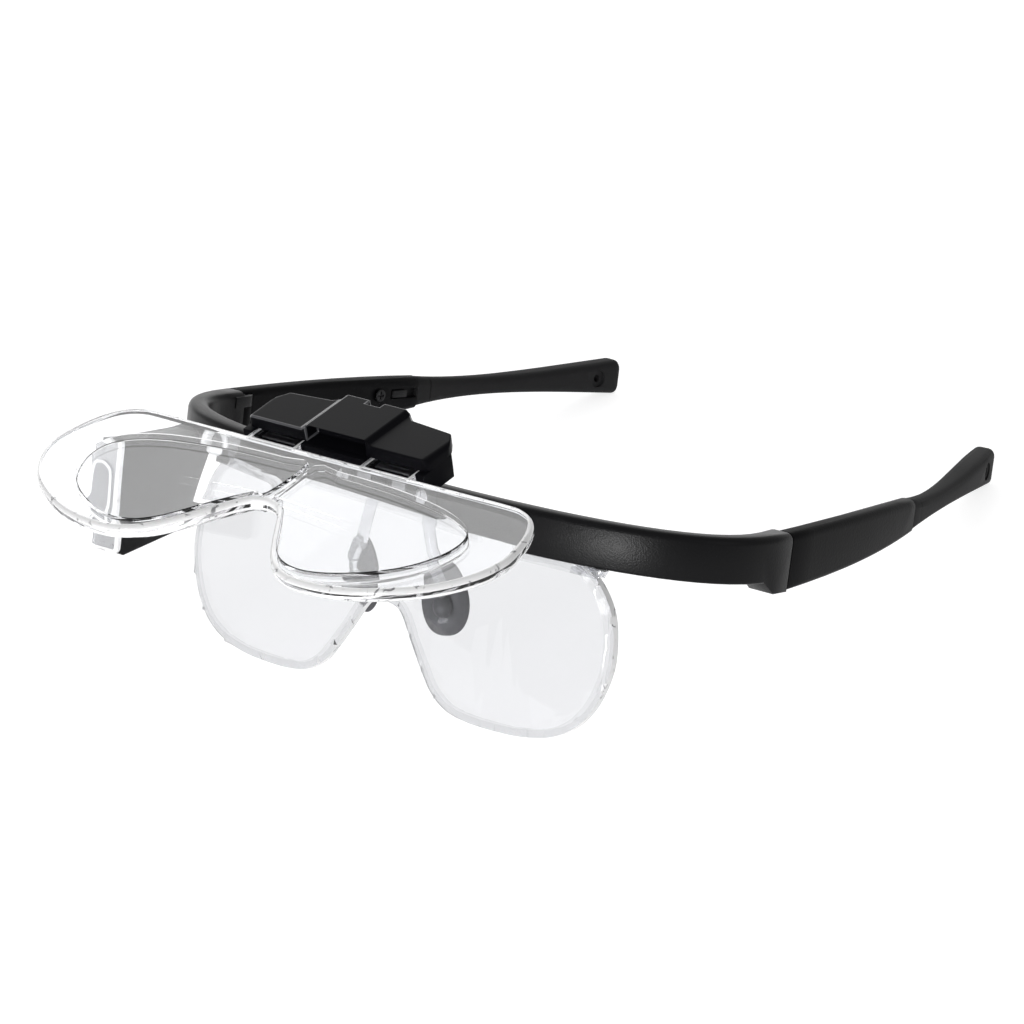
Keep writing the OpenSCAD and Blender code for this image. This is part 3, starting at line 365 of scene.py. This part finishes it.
def verts_in(made):
    """The corners among what an operator made."""
    return [v for v in made if isinstance(v, bmesh.types.BMVert)]


plate_half_w = 60
plate_depth = 43.4
plate_t = 3.0
nose_notch = 20.76            # from the straight edge to the notch between the lobes
rim_round = 1.1
polish_down_to = -2.6         # the rim's lowest round is left clear
dome_r = 1400.0
dome_base = 0.7               # how far a zone's edge stands above the plate
zone_middle = Vector((25.3, -21.75))
zone_reach = 27.0             # from a zone's middle to its edge
zone_rings = 16
plate_tab = (13.1, 9, 1.9)    # width, length and thickness
plate_tab_place = (15.25, 3.5, -1.1)
plate_tab_round = 0.4
smallest_clear_face = 8       # on a tab, in square millimetres; what is smaller is polished edge
drawn_half_w = 59.3           # the outlines were drawn on a plate of this size
drawn_depth = 43.9


def to_plate(points):
    """Brings an outline, drawn outwards and back from the straight edge, to the plate's size."""
    return [(x * plate_half_w / drawn_half_w, -y * plate_depth / drawn_depth) for x, y in points]


lobe = to_plate([
    (8.7, 0), (15.2, 0), (21.8, 0), (34, 0), (47, 0), (50.6, 0.6), (53.6, 2.2), (56, 5), (58, 9.6),
    (59.2, 15.5), (59.3, 20), (57.8, 25.2), (54.6, 30.4), (50.4, 34.8), (44.8, 38.6), (38.4, 41.8),
    (31.5, 43.6), (25, 43.9), (20.4, 42.7), (16.8, 40.3), (13.8, 37), (11, 33), (7.8, 28), (5.2, 24),
    (3, 21.8)])
zone = to_plate([
    (0.8, 5.4), (7, 5.4), (13.5, 5.6), (20.8, 6), (28, 6.8), (35.4, 8.2), (41, 10.1), (45.2, 12.6),
    (47.6, 16), (48, 20.4), (46.6, 25.4), (43.4, 30.6), (39, 34.8), (34, 38), (29, 40.2), (24, 41),
    (19.2, 39.8), (15.4, 36.8), (12.4, 32.6), (9.2, 27.6), (5, 21.6), (3, 19.6), (0.8, 18.8)])


def zone_height(x, y):
    """Height of a zone's curved face over the plate."""
    off = (Vector((abs(x), y)) - zone_middle).length_squared
    return dome_base + max(0, math.sqrt(dome_r ** 2 - off) - math.sqrt(dome_r ** 2 - zone_reach ** 2))


def grow_zone(shape, loop, middle):
    """Raises a step on a zone's outline and closes its curved face with rings drawn in to the middle.

    Each ring has its share of the outline's size and its drop below the curved face.
    """
    step_edge = [(0.998, 0.2), (0.99, 0.02)]
    face_rings = [(1 - k / zone_rings, 0) for k in range(1, zone_rings)]
    last = 1.0
    for share, drop in step_edge + face_rings:
        made = bmesh.ops.extrude_edge_only(shape, edges=loop)["geom"]
        for v in verts_in(made):
            v.co.xy = middle + (v.co.xy - middle) * share / last
            v.co.z = zone_height(v.co.x, v.co.y) - drop
        loop = [e for e in made if isinstance(e, bmesh.types.BMEdge)]
        last = share
    bmesh.ops.contextual_create(shape, geom=loop)


shape = bmesh.new()
plate_line = rounded([(0, 0), *lobe, (0, -nose_notch), *((-x, y) for x, y in reversed(lobe))])
rim = ring(shape, plate_line)
zone_rims = [ring(shape, rounded([(side * x, y) for x, y in zone], steps=3)) for side in (1, -1)]
bmesh.ops.triangle_fill(shape, use_beauty=True, edges=rim + zone_rims[0] + zone_rims[1])
for side, zone_rim in zip((1, -1), zone_rims):
    grow_zone(shape, zone_rim, Vector((side * zone_middle.x, zone_middle.y)))
under = bmesh.ops.duplicate(shape, geom=shape.verts[:] + shape.edges[:] + shape.faces[:])
for v in verts_in(under["geom"]):
    v.co.z = -plate_t - v.co.z
rim_below = [under["edge_map"][e] for e in rim]
wall = bmesh.ops.bridge_loops(shape, edges=rim + rim_below)["faces"]
bmesh.ops.recalc_face_normals(shape, faces=shape.faces)
rounds = bevel(shape, rim + rim_below, rim_round, 5)
for face in shape.faces:
    polished_round = face in rounds and face.calc_center_median().z > polish_down_to
    face.material_index = int(face in wall or polished_round)
tab_x, tab_y, tab_z = plate_tab_place
for side in (1, -1):
    tab = block(shape, plate_tab, (side * tab_x, tab_y, tab_z))
    for face in bevel(shape, list({e for v in tab for e in v.link_edges}), plate_tab_round, 3):
        face.material_index = int(face.calc_area() < smallest_clear_face)

# The polished edges get a cloudy white colour with dark streaks from a noise: a painted highlight and
# painted dark reflections, in place of the light and dark that polished clear edges show.
painted_rim_bright = (0.99, 0.99, 0.995)
painted_rim_dark = (0.25, 0.25, 0.26)
lens_clear = clear("lens_clear", (0.9, 0.905, 0.915))
painted_rim_reflections = clear("painted_rim_reflections", painted_rim_bright, 0.14, milk=0.65)
tree = painted_rim_reflections.node_tree
where = put(tree, "ShaderNodeTexCoord")
painted_reflection_streaks = put(tree, "ShaderNodeTexNoise", Scale=260, Detail=3.0, Roughness=0.7, Distortion=1.5)
painted_reflection_dashes = put(tree, "ShaderNodeValToRGB")
for stop, place, colour in zip(painted_reflection_dashes.color_ramp.elements, (0.33, 0.4), (painted_rim_dark, painted_rim_bright)):
    stop.position = place
    stop.color = (*colour, 1)
join(tree,
     (where, "Object", painted_reflection_streaks, "Vector"), (painted_reflection_streaks, "Fac", painted_reflection_dashes, 0),
     (painted_reflection_dashes, 0, tree.nodes["Principled BSDF"], "Base Color"))
piece_of("magnifying_plate", shape, as_raised, "flip_unit", [lens_clear, painted_rim_reflections],
         "lens_plate")


# Shield: a clear sheet bent to a wide curve, with a nose notch, a polished border that slopes
# back all round, and two tabs that are screwed behind the bar.
def slice_at(shape, places):
    """Cuts the whole shape along its width, so that it can bend or fold there."""
    for x in places:
        bmesh.ops.bisect_plane(shape, geom=shape.verts[:] + shape.edges[:] + shape.faces[:],
                               plane_co=(x, 0, 0), plane_no=(1, 0, 0))


def thicken(shape, faces, by):
    """Gives a flat or bent face a body, and returns what the far side is made of."""
    made = bmesh.ops.extrude_face_region(shape, geom=faces, use_keep_orig=True)["geom"]
    bmesh.ops.translate(shape, vec=by, verts=verts_in(made))
    return made


shield_half_w = 57.2
shield_t = 2.5
shield_bend_r = 420.0
shield_y = 25                 # its front face at the nose
shield_top = -16
nose_notch_top = -34.65
border_w = 1.9
border_slope = 0.7            # how far back the border's outer line lies
bend_step = 4                 # the sheet is cut this often across, so that it bends evenly
drawn_shield_half_w = 57.4    # the outline was drawn on a shield of this size


def to_shield(points):
    """Brings an outline, drawn outwards and down from the top edge, to the shield's size and place."""
    return [(x * (shield_half_w / drawn_shield_half_w), shield_top - y) for x, y in points]


tab = to_shield([(21, 0.15), (21, -5.95), (33, -5.95), (33, 0.15)])
side_line = to_shield([
    (45.5, 0.15), (49.8, 1.1), (53.4, 4.4), (56.2, 9.4), (57.4, 15.9), (57.2, 21.9), (55, 28.9),
    (51.2, 34.4), (45.8, 37.9), (38.8, 39.6), (32, 40), (25, 39.8), (19.2, 38.6), (14.8, 35.6),
    (11.6, 31.3), (8.2, 25.9), (5.2, 20.9), (3, 19.1)])
other_side = [(-x, z) for x, z in reversed(side_line)]
tabs = [(-x, z) for x, z in reversed(tab)] + tab

# The smooth line's first four points are the straight top, where the tabs are instead
below_tabs = rounded([other_side[-1], *side_line, (0, nose_notch_top), *other_side[:-1]])[4:]
shape = bmesh.new()
sheet = bmesh.ops.contextual_create(shape, geom=ring(shape, tabs + below_tabs))["faces"]
border = bmesh.ops.inset_region(shape, faces=sheet, thickness=border_w, use_boundary=True,
                                use_even_offset=True)["faces"]
for face in border:
    face.material_index = 1
bmesh.ops.triangulate(shape, faces=shape.faces[:])
slice_at(shape, [bend_step * k for k in range(-14, 15)])
outer_line = {v for e in shape.edges if len(e.link_faces) == 1 for v in e.verts}
for v in shape.verts:
    x, z = v.co.x, v.co.y
    bent_y = shield_y + shield_bend_r - math.sqrt(shield_bend_r ** 2 - x * x)
    v.co = (x, bent_y, z)
thicken(shape, shape.faces[:], (0, shield_t, 0))
bmesh.ops.translate(shape, vec=(0, border_slope, 0), verts=list(outer_line))
bmesh.ops.recalc_face_normals(shape, faces=shape.faces)
# The shield's edge walls take the painted rim colour: painted highlight and painted dark reflections.
walls = [face for face in shape.faces if abs(face.normal.y) < 0.5]
for face in walls:
    face.material_index = 2
shield_clear = clear("shield_clear", (0.8, 0.805, 0.82))
shield_border = clear("shield_border", (0.66, 0.665, 0.68), 0.1, milk=0.12)
piece_of("clear_shield", shape, as_worn, "frame", [shield_clear, shield_border, painted_rim_reflections],
         "shield")

# Carrier: two dark shells that clamp the plate's tabs. The cover has a raised middle on two short
# slopes, an open mouth under it, a notch at its back, rounded ends, and edges painted lighter: a painted
# highlight.
cover_half_w = 24.2
cover_h = 2.7
middle_rise = 1.1
slope_from = 8                # the middle's slopes lie between these two places
slope_to = 9.3
mouth_rim = 0.75
mouth_depth = 3.2
end_round = 1.7
edge_round = 0.42
hair = 0.2                    # tells points on a line from those beyond it
painted_highlight_left_of = -7           # edges with a painted highlight: on the far block
painted_highlight_behind = 15.5          # and along the back
carrier_dark = moulded("carrier_dark", (0.003, 0.003, 0.004), 0.36, 0.03, scale=2200, bump=0.2)
carrier_painted_highlight = moulded("carrier_painted_highlight", (0.05, 0.05, 0.055), 0.24, 0.5, scale=2200, bump=0.3)
dress(["carrier_base"], carrier_dark, edge=0.0003, segments=3)
cover_half = [(cover_half_w, 3), (cover_half_w, 11.2), (21.6, 14.9), (10.8, 16), (8.6, 17.9), (1.8, 17.9),
              (1.8, 16.2)]
cover_line = [*cover_half, *((-x, y) for x, y in reversed(cover_half))]
shape = bmesh.new()
bmesh.ops.contextual_create(shape, geom=ring(shape, cover_line))
slice_at(shape, (-slope_to, -slope_from, slope_from, slope_to))
top = verts_in(thicken(shape, shape.faces[:], (0, 0, cover_h)))
middle = [v for v in top if abs(v.co.x) < slope_from + hair]
bmesh.ops.translate(shape, vec=(0, 0, middle_rise), verts=middle)
bmesh.ops.recalc_face_normals(shape, faces=shape.faces)
mouth = [f for f in shape.faces if f.normal.y < -0.9 and abs(f.calc_center_median().x) < slope_from]
bmesh.ops.inset_region(shape, faces=mouth, thickness=mouth_rim, depth=0, use_even_offset=True)
bmesh.ops.translate(shape, vec=(0, mouth_depth, 0), verts=list({v for f in mouth for v in f.verts}))
end_edges = [e for e in shape.edges
             if all(abs(v.co.x) > cover_half_w - hair for v in e.verts) and max(v.co.z for v in e.verts) > 2]
bevel(shape, end_edges, end_round, 5)
joined = [e for e in shape.edges if len(e.link_faces) == 2 and max(v.co.z for v in e.verts) > 0.5]
crisp = [e for e in joined if e.calc_face_angle() > 0.5]
# Painted highlight: the rounded edges on the far block and along the back get the lighter, glossier carrier
# material.
for face in bevel(shape, crisp, edge_round, 3, clamp_overlap=True):
    spot = face.calc_center_median()
    face.material_index = int(spot.x < painted_highlight_left_of or spot.y > painted_highlight_behind)
piece_of("carrier_shell", shape, as_raised, "flip_unit", [carrier_dark, carrier_painted_highlight],
         "carrier_cover")

# Nose bridge: one clear moulding screwed behind the bar, slightly cloudy, with two arms that end
# in the pins of the pads.
small_clear = clear("small_clear", (0.72, 0.725, 0.74), 0.08, milk=0.15)
dress(["nose_bridge"], small_clear, edge=0)

# Nose pads: solid soft grey rubber, egg shaped and blunt at their lower ends, each with a round
# boss at its middle that turns on the bridge's pin.
pad_half_w = 5.3
pad_half_t = 1.35
pad_half_h = 7.8
pad_taper = 0.05
pad_curl = 0.9                # how far its long edges turn back
pad_middle_z = 0.6            # its middle over the boss
boss_half = (2.1, 2.3, 2.6)
boss_y = -2.2
boss_place = (11.2, 33.2, -33.4)
pad_turn = (Matrix.Rotation(math.radians(24), 4, "Z") @ Matrix.Rotation(math.radians(-8), 4, "Y")
            @ Matrix.Rotation(math.radians(4), 4, "X"))
pad_grey = moulded("pad_grey", (0.062, 0.062, 0.066), 0.55, 0.25, scale=1400, bump=0.3)
for side, name in ((1, "left"), (-1, "right")):
    shape = bmesh.new()
    bmesh.ops.create_uvsphere(shape, u_segments=40, v_segments=24, radius=1)
    for v in shape.verts:
        blunt = (v.co.x ** 2 + v.co.y ** 2) ** -0.1 if abs(v.co.z) < 0.999 else 1
        v.co = (pad_half_w * v.co.x * blunt * (1 - pad_taper * v.co.z),
                pad_half_t * v.co.y * blunt + pad_curl * v.co.x ** 2,
                pad_half_h * v.co.z + pad_middle_z)
    boss = bmesh.ops.create_uvsphere(shape, u_segments=24, v_segments=16, radius=1)["verts"]
    bmesh.ops.scale(shape, vec=boss_half, verts=boss)
    bmesh.ops.translate(shape, vec=(0, boss_y, 0), verts=boss)
    place = as_worn @ Matrix.Diagonal((side, 1, 1, 1)) @ Matrix.Translation(boss_place) @ pad_turn
    piece_of("soft_pad_" + name, shape, place, "pad_" + name, [pad_grey], "nose_pad_" + name,
             crisp=math.radians(60))

# Lamp: a slim black housing on a foot under the bar and its side cover, which is screwed on.
# Inside, a bright cone round the bulb, a small green board and the springy brass cell contacts.
lamp_black = moulded("lamp_black", (0.007, 0.007, 0.0075), 0.45, 0.14)
dress(["lamp_housing", "lamp_cover"], lamp_black)
bright_cone = finish("bright_cone", Metallic=1, Base_Color=(0.85, 0.85, 0.86, 1), Roughness=0.12)[0]
dress(["lamp_reflector"], bright_cone, edge=0)
bulb_resin = moulded("bulb_resin", (0.88, 0.86, 0.74), 0.25, 0.5, scale=900, bump=0.05)
dress(["lamp_led"], bulb_resin, edge=0)
board_green = moulded("board_green", (0.02, 0.12, 0.05), 0.4, 0.5, scale=700)
dress(["lamp_board"], board_green, edge=0)
brass = brushed("brass", (0.7, 0.52, 0.24))
dress(["cell_contacts"], brass, edge=0)

# Lamp window: a clear moulding seated in the housing's front, with rounded corners, a polished
# frame round a sunk face, and a lens in the shape of a D. It is drawn flat, then stood up.
window = (8.2, 22.3, 1.2)     # width, height and thickness
window_middle = (-64.9, -25, -7.85)
corner_round = 1.3
front_round = 0.3
frame_w = 0.6
face_slope_w = 0.2            # between the frame and the sunk face
face_depth = -0.45
d_foot = -7.7
d_rise = 0.9
d_rim_w = 0.6
d_rim_rise = 0.1
d_line = [(-67.6, -20.6), (-65.6, -19), (-63.4, -19.6), (-62.3, -21.4), (-62.3, -27.6), (-63.4, -29.4),
          (-65.6, -30), (-67.6, -28.4)]
shape = bmesh.new()
block(shape, window, window_middle)
bevel(shape, [e for e in shape.edges if e.calc_length() < 2], corner_round, 4)
front = [f for f in shape.faces if f.normal.z > 0.9]
bevel(shape, list(front[0].edges), front_round, 3)
front = [f for f in shape.faces if f.normal.z > 0.99 and f.calc_area() > 20]
bmesh.ops.inset_region(shape, faces=front, thickness=frame_w)
# The frame and, further on, the D's rim take the painted rim colour: painted highlight and painted dark
# reflections.
for face in shape.faces:
    face.material_index = int(face not in front)
bmesh.ops.inset_region(shape, faces=front, thickness=face_slope_w, depth=face_depth)
d_face = bmesh.ops.contextual_create(shape, geom=ring(shape, rounded(d_line), d_foot))["faces"]
top = [f for f in thicken(shape, d_face, (0, 0, d_rise)) if isinstance(f, bmesh.types.BMFace)]
bmesh.ops.recalc_face_normals(shape, faces=shape.faces)
d_rim = bmesh.ops.inset_region(shape, faces=top, thickness=d_rim_w, depth=d_rim_rise, use_even_offset=True)
for face in d_rim["faces"]:
    face.material_index = 1
for v in shape.verts:
    v.co = (v.co.x, -v.co.z, v.co.y)
bezel_clear = clear("bezel_clear", (0.5, 0.505, 0.52), 0.1, milk=0.2)
piece_of("lamp_bezel", shape, as_worn, "frame", [bezel_clear, painted_rim_reflections], "lamp_window")

# Push button: a clear hollow moulding with a frosted, slightly flared rim that stands out of the
# bar's front. Behind it sit the switch, its cap behind the bar, and two red wires to the lamp.
button_x = -47
button_z = -11.4
rim_back = 22                 # the frosted rim ends here
button_line = [(0, 27.5), (1.95, 27.5), (1.95, 22), (2.3, 20.9), (2.75, 20.45), (3.2, 20.4), (3.6, 20.6),
               (3.75, 20.95), (3.6, 21.2), (2.8, 21.25), (2.8, 28.67), (3.43, 28.67), (3.43, 29.47),
               (0, 29.47)]
shape = bmesh.new()
row = [shape.verts.new((r, y, 0)) for r, y in button_line]
line = [shape.edges.new(pair) for pair in zip(row, row[1:])]
bmesh.ops.spin(shape, geom=row + line, cent=(0, 0, 0), axis=(0, 1, 0), angle=math.tau, steps=56,
               use_merge=True)
bmesh.ops.remove_doubles(shape, verts=shape.verts, dist=0.001)
for face in shape.faces:
    face.material_index = int(face.calc_center_median().y < rim_back)
bmesh.ops.translate(shape, vec=(button_x, 0, button_z), verts=shape.verts)
hollow_clear = clear("hollow_clear", (0.985, 0.99, 0.995), 0.05, milk=0.12)
frosted = clear("frosted", (0.85, 0.855, 0.86), 0.25, milk=0.5)
piece_of("push_button", shape, as_worn, "button", [hollow_clear, frosted], "lamp_button")
dress(["switch_body"], hinge_black)
dress(["switch_cover"], bar_black)
wire_red = moulded("wire_red", (0.42, 0.02, 0.015), 0.45, 0.4, scale=1200)
dress(["switch_wires"], wire_red, edge=0)
